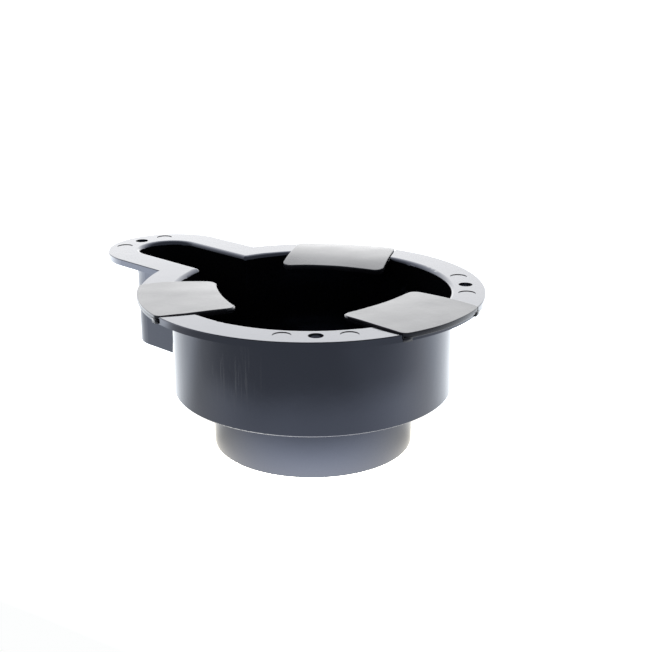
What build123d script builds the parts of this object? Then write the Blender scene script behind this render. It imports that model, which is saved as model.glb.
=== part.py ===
from build123d import *

import math
import os

# Drop-in cup holder: a stepped plastic well with a keyhole-shaped rim flange, a pocket for a
# mug's handle, and three rubber grip flaps that reach inwards over the mouth.
# Millimetres, +Z up. The origin is the centre of the lower cup's base, the handle pocket
# points to -X, and the drum's axis is Z.

# --- driving dimensions ----------------------------------------------------------------------

total_height = 72.0  # lower cup's base to the top of the rim flange
wall = 1.6  # side walls of the drum and the lower cup
floor = 2.4  # every floor

rim_radius = 76.2  # outer edge of the round part of the rim flange
rim_thickness = 3.0
handle_half_width = 30.1  # half the width of the rim flange around the handle pocket

drum_radius = 62.4  # outside of the upper drum
drum_depth = 45.3  # top of the rim to the underside of the drum's floor
cup_top_radius = 45.4  # outside of the lower cup, where it leaves the drum
cup_base_radius = 44.8  # outside of the lower cup, at its base

pocket_reach = 98.8  # drum axis to the centre of the handle pocket's round end
pocket_half_width = 16.2  # outside of the handle pocket
pocket_wall = 1.9
pocket_depth = 46.8  # top of the rim to the underside of the handle pocket

lip_radius = 2.0  # rounded inner edge of the mouth
edge_bevel = 0.35  # outer edge of the rim, at its top
drum_edge_radius = 0.5
base_radius = 0.6
corner_radius = 1.5  # upright corners where the handle pocket meets the drum
ledge_radius = 1.2  # from the drum's floor down into the lower cup
floor_radius = 1.0
cup_floor_radius = 2.5

screw_hole_radius = 3.1
rim_screw_radius = 68.0  # drum axis to the two screw holes in the round rim
rim_screw_angle = 45.0  # degrees either side of +X
handle_screw_reach = 120.8  # drum axis to the screw hole at the handle's tip

mark_radius = 3.8  # ejector marks: shallow discs pressed into the top of the rim
mark_depth = 0.25
mark_spread = 11.2  # degrees between a rim screw hole and the ejector mark beside it
handle_mark_reach = 118.3  # ejector marks beside the screw hole at the handle's tip
handle_mark_offset = 12.6

flap_angles = {"front": 0, "left": 120, "right": 240}  # about the drum's axis, from +X
flap_thickness = 2.4
flap_half_width = 24.4
flap_outer_radius = 76.7  # a little past the rim's edge
flap_tip_reach = 40.3  # drum axis to the middle of the flap's hollowed tip edge
flap_tip_curve = 110.0  # radius of the hollow in the tip edge
flap_tip_corner = 3.5
flap_rim_corner = 2.5
flap_recess_depth = 1.8  # the flap stands a little proud of its recess in the rim
flap_recess_gap = 0.4  # between the flap's sides and its recess

bend_reach = 54.0  # drum axis to the line where a flap bends
bend_gap = 0.05  # between the fixed and the moving part of a flap, at its underside
bend_relief = 0.95  # the same at the top, which lets the flap bend upwards

tab_width = 3.6  # tabs at the flap's rim corners, down over the rim's edge
tab_clearance = 0.05

# --- worked out from them ---------------------------------------------------------------------

rim_underside = total_height - rim_thickness
drum_underside = total_height - drum_depth
drum_floor_top = drum_underside + floor
pocket_underside = total_height - pocket_depth
pocket_floor_top = pocket_underside + floor
recess_floor = total_height - flap_recess_depth
flap_top = recess_floor + flap_thickness

inner_radius = drum_radius - wall
pocket_inner_half_width = pocket_half_width - pocket_wall


def rounded_bar(half_width, reach):
    """A round-ended bar from the drum's axis towards -X."""
    bar = Pos(-reach / 2, 0) * Rectangle(reach, 2 * half_width)
    return bar + Pos(-reach, 0) * Circle(half_width)


def keyhole(radius, half_width, reach):
    """A disc joined to a round-ended bar that runs from its centre towards -X."""
    return Circle(radius) + rounded_bar(half_width, reach)


def at_angle(degrees):
    """Turns a piece made on the +X side to its place around the drum's axis."""
    return Rot(0, 0, degrees)


# --- the moulded holder -----------------------------------------------------------------------


def flat_edges(shape, height):
    """The edges that lie flat at a height, such as a block's bottom edges."""
    return shape.edges().filter_by_position(Axis.Z, height - 0.001, height + 0.001)


def round_block(radius, bottom, top, bottom_rounding):
    """A round block whose surface starts and ends on the handle pocket's side."""
    block = Pos(0, 0, bottom) * extrude(Circle(radius), top - bottom)
    return at_angle(180) * fillet(flat_edges(block, bottom), bottom_rounding)


def cup_block(base_radius, top_radius, bottom, top, bottom_rounding):
    """The same for a block that widens a little from bottom to top."""
    ends = [Pos(0, 0, bottom) * Circle(base_radius), Pos(0, 0, top) * Circle(top_radius)]
    block = loft(ends)
    return at_angle(180) * fillet(flat_edges(block, bottom), bottom_rounding)


def pocket_block(half_width, bottom, top, bottom_rounding):
    """The handle pocket as a block, from the drum's wall out to its round end."""
    outline = rounded_bar(half_width, pocket_reach) - Circle(inner_radius)
    block = Pos(0, 0, bottom) * extrude(outline, top - bottom)
    outside = [edge for edge in flat_edges(block, bottom) if edge.center().X < -drum_radius]
    return fillet(outside, bottom_rounding)


def rim_plate():
    outline = keyhole(rim_radius, handle_half_width, pocket_reach)
    plate = Pos(0, 0, rim_underside) * extrude(outline, rim_thickness)
    return chamfer(flat_edges(plate, total_height), edge_bevel)


def outer_form():
    """The moulding's outside, before it is hollowed."""
    drum = round_block(drum_radius, drum_underside, rim_underside, drum_edge_radius)
    pocket = pocket_block(pocket_half_width, pocket_underside, rim_underside, drum_edge_radius)
    cup = cup_block(cup_base_radius, cup_top_radius, 0, drum_floor_top, base_radius)
    return drum + pocket + cup + rim_plate()


def hollow_form():
    """The space inside the moulding: the well, the handle pocket and the lower cup."""
    mouth_outline = keyhole(inner_radius, pocket_inner_half_width, pocket_reach)
    mouth_outline = fillet(mouth_outline.vertices(), corner_radius)
    mouth_bottom = drum_floor_top + 2 * floor_radius
    mouth = Pos(0, 0, mouth_bottom) * extrude(mouth_outline, total_height - mouth_bottom)
    well = round_block(inner_radius, drum_floor_top, total_height, floor_radius)
    pocket = pocket_block(
        pocket_inner_half_width, pocket_floor_top, total_height, floor_radius
    )
    cup = cup_block(
        cup_base_radius - wall, cup_top_radius - wall, floor, drum_floor_top, cup_floor_radius
    )
    return well + pocket + mouth + cup


def face_at(shape, height):
    """The largest flat face of a shape that faces up at a height."""
    level = [
        face
        for face in shape.faces().filter_by(GeomType.PLANE)
        if abs(face.center().Z - height) < 0.01 and face.normal_at().Z > 0.9
    ]
    return max(level, key=lambda face: face.area)


def rounded_shell():
    """The hollowed moulding, with its rounded lip and the rounded ledge inside it."""
    shell = outer_form() - hollow_form()
    shell = fillet(face_at(shell, total_height).inner_wires()[0].edges(), lip_radius)
    shell = fillet(face_at(shell, drum_floor_top).inner_wires()[0].edges(), ledge_radius)
    return shell


def flap_strip(half_width):
    """A flat strip from the drum's axis out past the rim, on the +X side."""
    reach = rim_radius + 10
    return Pos(reach / 2, 0) * Rectangle(reach, 2 * half_width)


def recess_cutter():
    """What is cut from the rim for one flap, on the +X side."""
    outline = flap_strip(flap_half_width + flap_recess_gap) - Circle(bend_reach - 10)
    return Pos(0, 0, recess_floor) * extrude(outline, flap_recess_depth + 1)


def screw_hole(x, y):
    return Pos(x, y, total_height - rim_thickness / 2) * Cylinder(
        screw_hole_radius, 2 * rim_thickness
    )


def ejector_mark(x, y):
    return Pos(x, y, total_height - mark_depth) * extrude(Circle(mark_radius), mark_depth + 1)


def on_rim(degrees):
    """The point at an angle around the rim, on the circle of the screw holes."""
    angle = math.radians(degrees)
    return rim_screw_radius * math.cos(angle), rim_screw_radius * math.sin(angle)


def holder_body():
    body = rounded_shell()
    for angle in flap_angles.values():
        body -= at_angle(angle) * recess_cutter()
    for side in (-1, 1):
        body -= screw_hole(*on_rim(side * rim_screw_angle))
        for step in (-1, 1):
            body -= ejector_mark(*on_rim(side * rim_screw_angle + step * mark_spread))
        body -= ejector_mark(-handle_mark_reach, side * handle_mark_offset)
    body -= screw_hole(-handle_screw_reach, 0)
    return body


# --- the rubber flaps -------------------------------------------------------------------------


def flap_blank():
    """One whole flap, flat, on the +X side, before it is parted at its bend."""
    outline = flap_strip(flap_half_width) & Circle(flap_outer_radius)
    outline -= Pos(flap_tip_reach - flap_tip_curve, 0) * Circle(flap_tip_curve)
    tip_corners = outline.vertices().sort_by(Axis.X)[:2]
    outline = fillet(tip_corners, flap_tip_corner)
    rim_corners = outline.vertices().sort_by(Axis.X)[-2:]
    outline = fillet(rim_corners, flap_rim_corner)
    return Pos(0, 0, recess_floor) * extrude(outline, flap_thickness)


def rim_tab(side):
    """The tab at one rim corner of a flap, down over the rim's edge to the rim's underside."""
    ring = Circle(flap_outer_radius) - Circle(rim_radius + tab_clearance)
    middle = side * (flap_half_width - tab_width / 2)
    outline = ring & Pos(rim_radius, middle) * Rectangle(30, tab_width)
    bottom = rim_underside + tab_clearance
    return Pos(0, 0, bottom) * extrude(outline, recess_floor - bottom)


def bend_wedge():
    """The V-shaped gap across a flap at its bend, narrow below and wide above."""
    profile = Polygon(
        (bend_reach - bend_gap, recess_floor),
        (bend_reach, recess_floor),
        (bend_reach, flap_top),
        (bend_reach - bend_relief, flap_top),
        align=None,
    )
    width = 4 * flap_half_width
    return Pos(0, width / 2, 0) * extrude(Plane.XZ * profile, width)


def half_space(side):
    """Everything on the rim side (+1) or on the tip side (-1) of the bend."""
    length = 2 * rim_radius
    return Pos(bend_reach + side * length / 2, 0, total_height) * Box(length, length, length)


def flap_root():
    """The part of a flap that is held by the rim."""
    root = flap_blank() & half_space(1)
    for side in (-1, 1):
        root += rim_tab(side)
    return root


def flap_tongue():
    """The part of a flap that bends down into the mouth."""
    return (flap_blank() & half_space(-1)) - bend_wedge()


# --- write every piece ------------------------------------------------------------------------

pieces = {"holder_body": holder_body()}
for name, angle in flap_angles.items():
    turn = at_angle(angle)
    pieces[f"grip_flap_{name}_root"] = turn * flap_root()
    pieces[f"grip_flap_{name}_tongue"] = turn * flap_tongue()

os.makedirs("parts", exist_ok=True)
for node, piece in pieces.items():
    export_step(piece, f"parts/{node}.step")
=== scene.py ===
import math

import bpy
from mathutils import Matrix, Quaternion, Vector, noise


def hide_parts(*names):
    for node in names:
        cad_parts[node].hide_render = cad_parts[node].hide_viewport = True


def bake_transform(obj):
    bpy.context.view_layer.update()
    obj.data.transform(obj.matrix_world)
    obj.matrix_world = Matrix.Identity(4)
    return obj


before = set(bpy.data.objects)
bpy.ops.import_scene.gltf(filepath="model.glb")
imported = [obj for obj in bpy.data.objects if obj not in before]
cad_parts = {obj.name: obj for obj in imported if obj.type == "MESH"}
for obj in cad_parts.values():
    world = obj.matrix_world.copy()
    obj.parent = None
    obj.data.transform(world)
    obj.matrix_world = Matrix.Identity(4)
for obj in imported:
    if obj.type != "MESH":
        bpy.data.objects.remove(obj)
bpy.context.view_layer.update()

scene = bpy.context.scene

MM = 0.001

# millimetres, as in the CAD
RIM_TOP = 72.0
RIM_UNDERSIDE = 69.0
RIM_RADIUS = 76.2
RECESS_FLOOR = 70.2
BEND_REACH = 54.0     # the drum's axis to the line where a flap bends

# towards the camera, and to the camera's right, both level
FRONT = Vector((0.695, -0.719, 0))
RIGHT = Vector((0.719, 0.695, 0))


# --- camera ------------------------------------------------------------------------------------

CAMERA_AIM = Vector((-0.6508, 0.6908, -0.3149)).normalized()
CAMERA_ROLL = 0.00216     # radians


def make_camera():
    """The photo's camera, fitted to the round edges of the rim, the drum and the lower cup."""
    data = bpy.data.cameras.new("camera")
    data.lens = 63.40
    data.sensor_width = 36
    data.clip_start = 0.01
    camera = bpy.data.objects.new("camera", data)
    scene.collection.objects.link(camera)
    camera.location = (0.3388, -0.3509, 0.2152)
    roll = Quaternion(CAMERA_AIM, CAMERA_ROLL)
    camera.rotation_euler = (roll @ CAMERA_AIM.to_track_quat("-Z", "Y")).to_euler()
    scene.camera = camera


# --- node helpers ------------------------------------------------------------------------------

class Nodes:
    """Short ways to add and join shader nodes in one tree."""

    def __init__(self, tree):
        tree.nodes.clear()
        self.tree = tree

    def add(self, kind, inputs=None, **settings):
        node = self.tree.nodes.new(kind)
        for name, value in settings.items():
            setattr(node, name, value)
        for name, value in (inputs or {}).items():
            self.put(node.inputs[name], value)
        return node

    def put(self, socket, value):
        if isinstance(value, bpy.types.NodeSocket):
            self.tree.links.new(value, socket)
        else:
            socket.default_value = value

    def place(self):
        """A point's place on its object, in metres."""
        return self.add("ShaderNodeTexCoord").outputs["Object"]

    def math(self, operation, *values):
        node = self.add("ShaderNodeMath", operation=operation)
        for i, value in enumerate(values):
            self.put(node.inputs[i], value)
        return node.outputs[0]

    def measure(self, operation, *vectors):
        """One number from one vector or two: LENGTH, DISTANCE or DOT_PRODUCT."""
        node = self.add("ShaderNodeVectorMath", operation=operation)
        for i, vector in enumerate(vectors):
            self.put(node.inputs[i], vector)
        return node.outputs["Value"]

    def noise(self, vector, scale, detail):
        node = self.add("ShaderNodeTexNoise", {
            "Vector": vector, "Scale": scale, "Detail": detail,
            "Roughness": 0.5, "Distortion": 0.0})
        return node.outputs["Fac"]

    def remap(self, value, low, high, to_low, to_high, blend="LINEAR"):
        """Goes from to_low to to_high, while a value goes from low to high."""
        node = self.add("ShaderNodeMapRange", {
            "Value": value, "From Min": low, "From Max": high,
            "To Min": to_low, "To Max": to_high}, interpolation_type=blend)
        return node.outputs[0]

    def fade(self, value, low, high, to_low, to_high):
        """The same, with a smooth start and end."""
        return self.remap(value, low, high, to_low, to_high, "SMOOTHSTEP")

    def stretch(self, vector, scale):
        return self.add("ShaderNodeMapping", {"Vector": vector, "Scale": scale}).outputs[0]

    def mix_color(self, factor, a, b):
        node = self.add("ShaderNodeMix", data_type="RGBA")
        self.put(node.inputs[0], factor)
        self.put(node.inputs[6], a)
        self.put(node.inputs[7], b)
        return node.outputs[2]

    def end_with(self, shader, output):
        """Joins a shader node to a new output node."""
        self.tree.links.new(shader.outputs[0], self.add(output).inputs[0])


def new_material(name):
    material = bpy.data.materials.new(name)
    material.use_nodes = True
    return material, Nodes(material.node_tree)


# --- studio ------------------------------------------------------------------------------------

FLOOR_SIZE = 30           # metres
FLOOR_DROP = 0.0002       # how far the floor is below the lower cup's base
FLOOR_WHITE = 0.99        # the floor's dimmest light, which still renders as white


def make_world():
    """A white studio, brightest behind the object and never dark near the horizon."""
    world = bpy.data.worlds.new("studio")
    scene.world = world
    world.use_nodes = True
    nodes = Nodes(world.node_tree)
    direction = nodes.add("ShaderNodeTexCoord").outputs["Generated"]
    backdrop = nodes.fade(nodes.measure("DOT_PRODUCT", direction, -FRONT), -0.2, 0.75, 0.7, 3.6)
    height = nodes.add("ShaderNodeSeparateXYZ", {0: direction}).outputs["Z"]
    low_part = nodes.fade(height, 0.26, 0.36, 0.86, 1.0)
    horizon = nodes.fade(height, 0.08, 0.2, 1.0, 0.0)
    strength = nodes.math("MAXIMUM", nodes.math("MULTIPLY", backdrop, low_part), horizon)
    light = nodes.add("ShaderNodeBackground", {"Color": (1, 1, 1, 1), "Strength": strength})
    nodes.end_with(light, "ShaderNodeOutputWorld")


def table_light(nodes, ahead, across, reach):
    """The table's own light: stronger behind the object and to its sides, weaker close to it."""
    depth = nodes.fade(ahead, 0.20, -0.10, 0.99, 2.3)
    right = nodes.fade(across, 0.05, 0.13, 1.0, 1.25)
    past = nodes.fade(ahead, 0.02, -0.03, 0.0, 1.0)
    far_left = nodes.fade(across, -0.2, -0.34, 0.0, 1.4)
    left = nodes.math("MULTIPLY_ADD", far_left, past, 1.0)
    beside_cup = nodes.fade(reach, 0.045, 0.08, 0.7, 1.0)
    depth = nodes.math("MULTIPLY", depth, beside_cup)
    light = nodes.math("MULTIPLY", depth, nodes.math("MULTIPLY", right, left))

    # a little less at the front left
    in_front = nodes.fade(ahead, -0.04, 0.02, 0.0, 1.0)
    at_left = nodes.fade(across, -0.03, -0.1, 0.0, 0.26)
    loss = nodes.math("MULTIPLY", in_front, at_left)
    return nodes.math("MULTIPLY", light, nodes.math("SUBTRACT", 1.0, loss))


def make_floor():
    """A white light table, with a bright pool in front of the lower cup's foot."""
    bpy.ops.mesh.primitive_plane_add(size=FLOOR_SIZE, location=(0, 0, -FLOOR_DROP))
    floor = bpy.context.object
    floor.name = "floor"
    material, nodes = new_material("floor")
    place = nodes.place()
    ahead = nodes.measure("DOT_PRODUCT", place, FRONT)
    across = nodes.measure("DOT_PRODUCT", place, RIGHT)
    reach = nodes.measure("LENGTH", place)

    glow = nodes.fade(reach, 0.14, 0.19, 0.9, 0.0)
    foot = nodes.math("POWER", nodes.remap(reach, 0.042, 0.095, 1.0, 0.0), 2.0)
    pool = nodes.math("MULTIPLY_ADD", foot, 12.5, glow)
    near = nodes.fade(ahead, 0.0, 0.08, 0.0, 1.0)
    table = table_light(nodes, ahead, across, reach)
    light = nodes.math("MULTIPLY_ADD", pool, near, table)
    strength = nodes.math("MAXIMUM", light, FLOOR_WHITE)

    behind = nodes.fade(ahead, 0.04, -0.03, 0.0, 1.0)
    color = nodes.mix_color(behind, (0.99, 1, 1, 1), (0.92, 0.96, 1, 1))
    color = nodes.mix_color(foot, color, (1, 0.957, 0.86, 1))
    emission = nodes.add("ShaderNodeEmission", {"Color": color, "Strength": strength})
    nodes.end_with(emission, "ShaderNodeOutputMaterial")
    floor.data.materials.append(material)


# --- materials ---------------------------------------------------------------------------------

GLOSS_IOR = 1.52                          # of the plastic and of the rubber

RUBBED_PLACE = (0.0098, -0.0616, 0.052)   # the middle of the rub marks on the drum's outside
RUBBED_REACH = 0.022                      # from there to where they have faded out
DRUM_SKIN = (0.0614, 0.062)               # distances from the axis, inside the drum's wall


def glossy_shader(nodes, tint):
    """A shader node that reflects like plastic or rubber, with a tint to its reflections."""
    shader = nodes.add("ShaderNodeBsdfPrincipled", {"IOR": GLOSS_IOR, "Specular Tint": tint})
    nodes.end_with(shader, "ShaderNodeOutputMaterial")
    return shader


def set_bump(nodes, shader, height, distance):
    bump = nodes.add("ShaderNodeBump", {
        "Strength": 1.0, "Distance": distance, "Height": height})
    nodes.put(shader.inputs["Normal"], bump.outputs[0])


def rub_marks(nodes, place):
    """1 in the thin upright rub marks on the drum's outside, and 0 away from them."""
    away = nodes.measure("DISTANCE", place, RUBBED_PLACE)
    patch = nodes.fade(away, 0.3 * RUBBED_REACH, RUBBED_REACH, 1.0, 0.0)
    from_axis = nodes.measure("LENGTH", nodes.stretch(place, (1, 1, 0)))
    outside = nodes.remap(from_axis, *DRUM_SKIN, 0.0, 1.0)
    patch = nodes.math("MULTIPLY", patch, outside)
    upright = nodes.noise(nodes.stretch(place, (1, 1, 0.03)), 1700, 2)
    streak = nodes.fade(upright, 0.56, 0.66, 0.0, 1.0)
    return nodes.math("MULTIPLY", streak, patch)


def holder_plastic():
    """Glossy black moulded plastic, a little rubbed on the drum's front."""
    material, nodes = new_material("holder_plastic")
    shader = glossy_shader(nodes, (0.66, 0.74, 1.0, 1))
    place = nodes.place()
    rub = rub_marks(nodes, place)
    color = nodes.mix_color(rub, (0.0015, 0.0016, 0.002, 1), (0.016, 0.016, 0.015, 1))
    nodes.put(shader.inputs["Base Color"], color)
    haze = nodes.remap(nodes.noise(place, 45, 3), 0.3, 0.7, 0.08, 0.16)
    nodes.put(shader.inputs["Roughness"], nodes.math("MULTIPLY_ADD", rub, 0.1, haze))
    set_bump(nodes, shader, nodes.noise(place, 130, 2), 0.00003)
    return material


def dust_specks(nodes, place):
    """1 in a few tiny round specks, and 0 between them."""
    cells = nodes.add("ShaderNodeTexVoronoi", {"Vector": place, "Scale": 210.0})
    draw = nodes.measure("DOT_PRODUCT", cells.outputs["Color"], (1, 0, 0))
    chosen = nodes.math("GREATER_THAN", draw, 0.95)
    middle = nodes.math("LESS_THAN", cells.outputs["Distance"], 0.05)
    return nodes.math("MULTIPLY", chosen, middle)


def flap_rubber():
    """Satin black rubber with a fine grain and a few specks of dust."""
    material, nodes = new_material("flap_rubber")
    shader = glossy_shader(nodes, (0.28, 0.31, 0.38, 1))
    place = nodes.place()
    cloud = nodes.noise(place, 60, 3)
    lighter = nodes.remap(cloud, 0.35, 0.65, 0.0, 1.0)
    color = nodes.mix_color(lighter, (0.003, 0.003, 0.004, 1), (0.007, 0.007, 0.009, 1))
    color = nodes.mix_color(dust_specks(nodes, place), color, (0.6, 0.6, 0.6, 1))
    nodes.put(shader.inputs["Base Color"], color)
    nodes.put(shader.inputs["Roughness"], nodes.remap(cloud, 0.3, 0.7, 0.2, 0.28))
    grain = nodes.noise(place, 900, 2)
    swell = nodes.noise(place, 70, 2)
    set_bump(nodes, shader, nodes.math("MULTIPLY_ADD", grain, 0.12, swell), 0.0001)
    return material


# --- rubber flaps ------------------------------------------------------------------------------
#
# Each flap is drawn in its own frame, in millimetres: u runs outwards from the drum's axis, v to
# the left of that, and every height is above the rim flange's top.

HALF_WIDTH = 24.4
TIP_CURVE = 110.0     # radius of the hollow in the tip edge
TIP_CORNER = 4.6
RIM_CORNER = 2.5
THICKNESS = 2.3
EDGE = 0.3            # rounding of the flap's edges
LIP_REACH = 61.0      # where the flap leaves the rim
LIFT_OFF = 4.0        # from there to where its underside follows its top
SEAT = RECESS_FLOOR - RIM_TOP
BEND_SPREAD = 4.5     # how far the bend reaches to either side of its line

RIPPLE = 0.12         # height of the rubber's unevenness
RIPPLE_LENGTH = 14.0

TAB_GAP = 0.05        # between a tab and the rim
TAB_RISE = 0.6        # how far a tab reaches up into the flap
TAB_STEP = 0.25       # how far a tab stands out from the flap's rim edge
# across a tab: how far in from the flap's side, and how much thinner the tab is there
TAB_SLICES = ((3.9, 0.3), (3.6, 0.0), (0.3, 0.0), (0.0, 0.3))

# angle: degrees about the drum's axis, from +X. tip and rim: u at the middle of the tip edge and
# of the rim edge. heights: of the top, at the rim edge, the lip and the tip. twist: how much
# higher the tip is at its left, and lower at its right. taper: how far each side draws in there.
FLAPS = {
    "front": {
        "angle": 0, "tip": 40.3, "rim": 76.7,
        "heights": (0.4, 0.9, 0.7), "twist": 0.0, "taper": 1.2},
    "left": {
        "angle": 120, "tip": 39.3, "rim": 76.3,
        "heights": (0.15, 0.85, -1.2), "twist": 0.0, "taper": 0.0},
    "right": {
        "angle": 240, "tip": 41.2, "rim": 77.0,
        "heights": (0.2, 0.5, 0.0), "twist": 0.55, "taper": 1.5},
}


def spaced(count, ends):
    """Numbers from 0 to 1, closer together near both ends by the share that ends gives."""
    steps = [i / count for i in range(count + 1)]
    return [t - ends * math.sin(2 * math.pi * t) / (2 * math.pi) for t in steps]


def corner_inset(distance, radius):
    """How far a rounded corner of that radius draws an edge in, at a distance from the side."""
    if distance >= radius:
        return 0.0
    return radius - math.sqrt(radius * radius - (radius - distance) ** 2)


def curve_through(u, points):
    """The height at u on the smooth curve through three (u, height) points."""
    total = 0.0
    for i, (a, height) in enumerate(points):
        for j, (b, _) in enumerate(points):
            if i != j:
                height *= (u - b) / (a - b)
        total += height
    return total


def slab_faces(wide, long):
    """Faces over a top and then a bottom grid of points, and the wall around their edge."""
    def at(i, j, level):
        return (level * wide + i) * long + j

    faces = []
    for i in range(wide - 1):
        for j in range(long - 1):
            cell = [(i, j), (i + 1, j), (i + 1, j + 1), (i, j + 1)]
            faces.append(tuple(at(a, b, 0) for a, b in reversed(cell)))
            faces.append(tuple(at(a, b, 1) for a, b in cell))
    ring = [(i, 0) for i in range(wide - 1)]
    ring += [(wide - 1, j) for j in range(long - 1)]
    ring += [(i, long - 1) for i in range(wide - 1, 0, -1)]
    ring += [(0, j) for j in range(long - 1, 0, -1)]
    for (i, j), (k, m) in zip(ring, ring[1:] + ring[:1]):
        faces.append((at(i, j, 0), at(k, m, 0), at(k, m, 1), at(i, j, 1)))
    return faces


class Flap:
    """One flap, with the shape that its row in FLAPS gives."""

    def __init__(self, facts):
        self.facts = facts
        self.turn = math.radians(facts["angle"])
        rim, lip, tip = facts["heights"]
        self.profile = [(facts["rim"], rim), (LIP_REACH, lip), (facts["tip"], tip)]

    def inward(self, u):
        """0 over the rim, growing to 1 at the tip."""
        return max(0.0, (LIP_REACH - u) / (LIP_REACH - self.facts["tip"]))

    def half_width(self, u):
        return HALF_WIDTH - self.facts["taper"] * self.inward(u)

    def tip_edge(self, v):
        """Where the hollowed tip edge is at v, before its corners are rounded."""
        return self.facts["tip"] - TIP_CURVE + math.sqrt(TIP_CURVE ** 2 - v * v)

    def rim_edge(self, v):
        return math.sqrt(self.facts["rim"] ** 2 - v * v)

    def edge_distance(self, u, v):
        """How far a point is inside the flap's rounded outline."""
        side = self.half_width(u) - abs(v)
        best = side
        ends = ((u - self.tip_edge(v), TIP_CORNER), (self.rim_edge(v) - u, RIM_CORNER))
        for gap, radius in ends:
            if gap < radius and side < radius:
                best = min(best, radius - math.hypot(radius - gap, radius - side))
            else:
                best = min(best, gap)
        return max(best, 0.0)

    def top(self, u, v):
        twist = self.facts["twist"] * self.inward(u) * v / HALF_WIDTH
        spot = Vector((u / RIPPLE_LENGTH, v / RIPPLE_LENGTH, self.facts["angle"]))
        return curve_through(u, self.profile) + twist + RIPPLE * noise.noise(spot)

    def bottom(self, u, v):
        """On the recess floor over the rim, and one thickness under the top beyond it."""
        free = min(1.0, max(0.0, (LIP_REACH - u) / LIFT_OFF))
        return SEAT + (self.top(u, v) - THICKNESS - SEAT) * free

    def place(self, u, v, height):
        x = u * math.cos(self.turn) - v * math.sin(self.turn)
        y = u * math.sin(self.turn) + v * math.cos(self.turn)
        return (x * MM, y * MM, (RIM_TOP + height) * MM)

    def outline_point(self, across, along):
        """(u, v) of a grid point, both given from 0 to 1."""
        v = (2 * across - 1) * HALF_WIDTH
        side = HALF_WIDTH - abs(v)
        tip = self.tip_edge(v) + corner_inset(side, TIP_CORNER)
        rim = self.rim_edge(v) - corner_inset(side, RIM_CORNER)
        u = tip + along * (rim - tip)
        return u, v * self.half_width(u) / HALF_WIDTH

    def sheet(self, grid, surface, outwards):
        """A grid of points on the top (outwards is 1) or the bottom (-1), rounded at its edge."""
        points = []
        for u, v in grid:
            sunk = corner_inset(self.edge_distance(u, v), EDGE)
            points.append(self.place(u, v, surface(u, v) - outwards * sunk))
        return points

    def tab_points(self, side):
        """Points of the tab at one rim corner, down over the rim's edge to its underside."""
        low = RIM_UNDERSIDE - RIM_TOP + TAB_GAP
        high = SEAT + TAB_RISE
        inner = RIM_RADIUS + TAB_GAP
        outer = self.facts["rim"] + TAB_STEP
        section = ((outer, high), (outer, low), (inner, low), (inner, high))
        points = []
        for inset, thinner in TAB_SLICES:
            v = side * (HALF_WIDTH - inset)
            for radius, height in section:
                radius = max(inner, radius - thinner)
                points.append(self.place(math.sqrt(radius * radius - v * v), v, height))
        return points

    def tab_faces(self, side, first):
        """Faces over tab_points, where first is the number of the first point."""
        count = 4
        last = first + count * (len(TAB_SLICES) - 1)
        faces = []
        for start in range(first, last, count):
            for n in range(count):
                a = start + n
                b = start + (n + 1) % count
                faces.append((a, b, b + count, a + count))
        faces.append(tuple(reversed(range(first, first + count))))
        faces.append(tuple(range(last, last + count)))
        return faces if side > 0 else [face[::-1] for face in faces]

    def build(self, name):
        columns = spaced(56, 0.92)
        rows = spaced(64, 0.9)
        grid = [self.outline_point(across, along) for across in columns for along in rows]
        points = self.sheet(grid, self.top, 1) + self.sheet(grid, self.bottom, -1)
        faces = slab_faces(len(columns), len(rows))
        for side in (-1, 1):
            faces += self.tab_faces(side, len(points))
            points += self.tab_points(side)
        mesh = bpy.data.meshes.new(name)
        mesh.from_pydata(points, [], faces)
        mesh.shade_smooth()
        piece = bpy.data.objects.new(name, mesh)
        scene.collection.objects.link(piece)
        return piece


def make_flap(name, material):
    flap = Flap(FLAPS[name])
    piece = flap.build(f"grip_flap_{name}")
    piece.data.materials.append(material)
    start = flap.place(BEND_REACH + BEND_SPREAD, 0, SEAT)
    end = flap.place(BEND_REACH - BEND_SPREAD, 0, SEAT)
    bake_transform(piece)
    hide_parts(f"grip_flap_{name}_root", f"grip_flap_{name}_tongue")


# --- put it together ---------------------------------------------------------------------------

make_camera()
make_world()
make_floor()
scene.view_settings.view_transform = "Standard"

plastic = holder_plastic()
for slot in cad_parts["holder_body"].material_slots:
    slot.material = plastic

rubber = flap_rubber()
for name in FLAPS:
    make_flap(name, rubber)
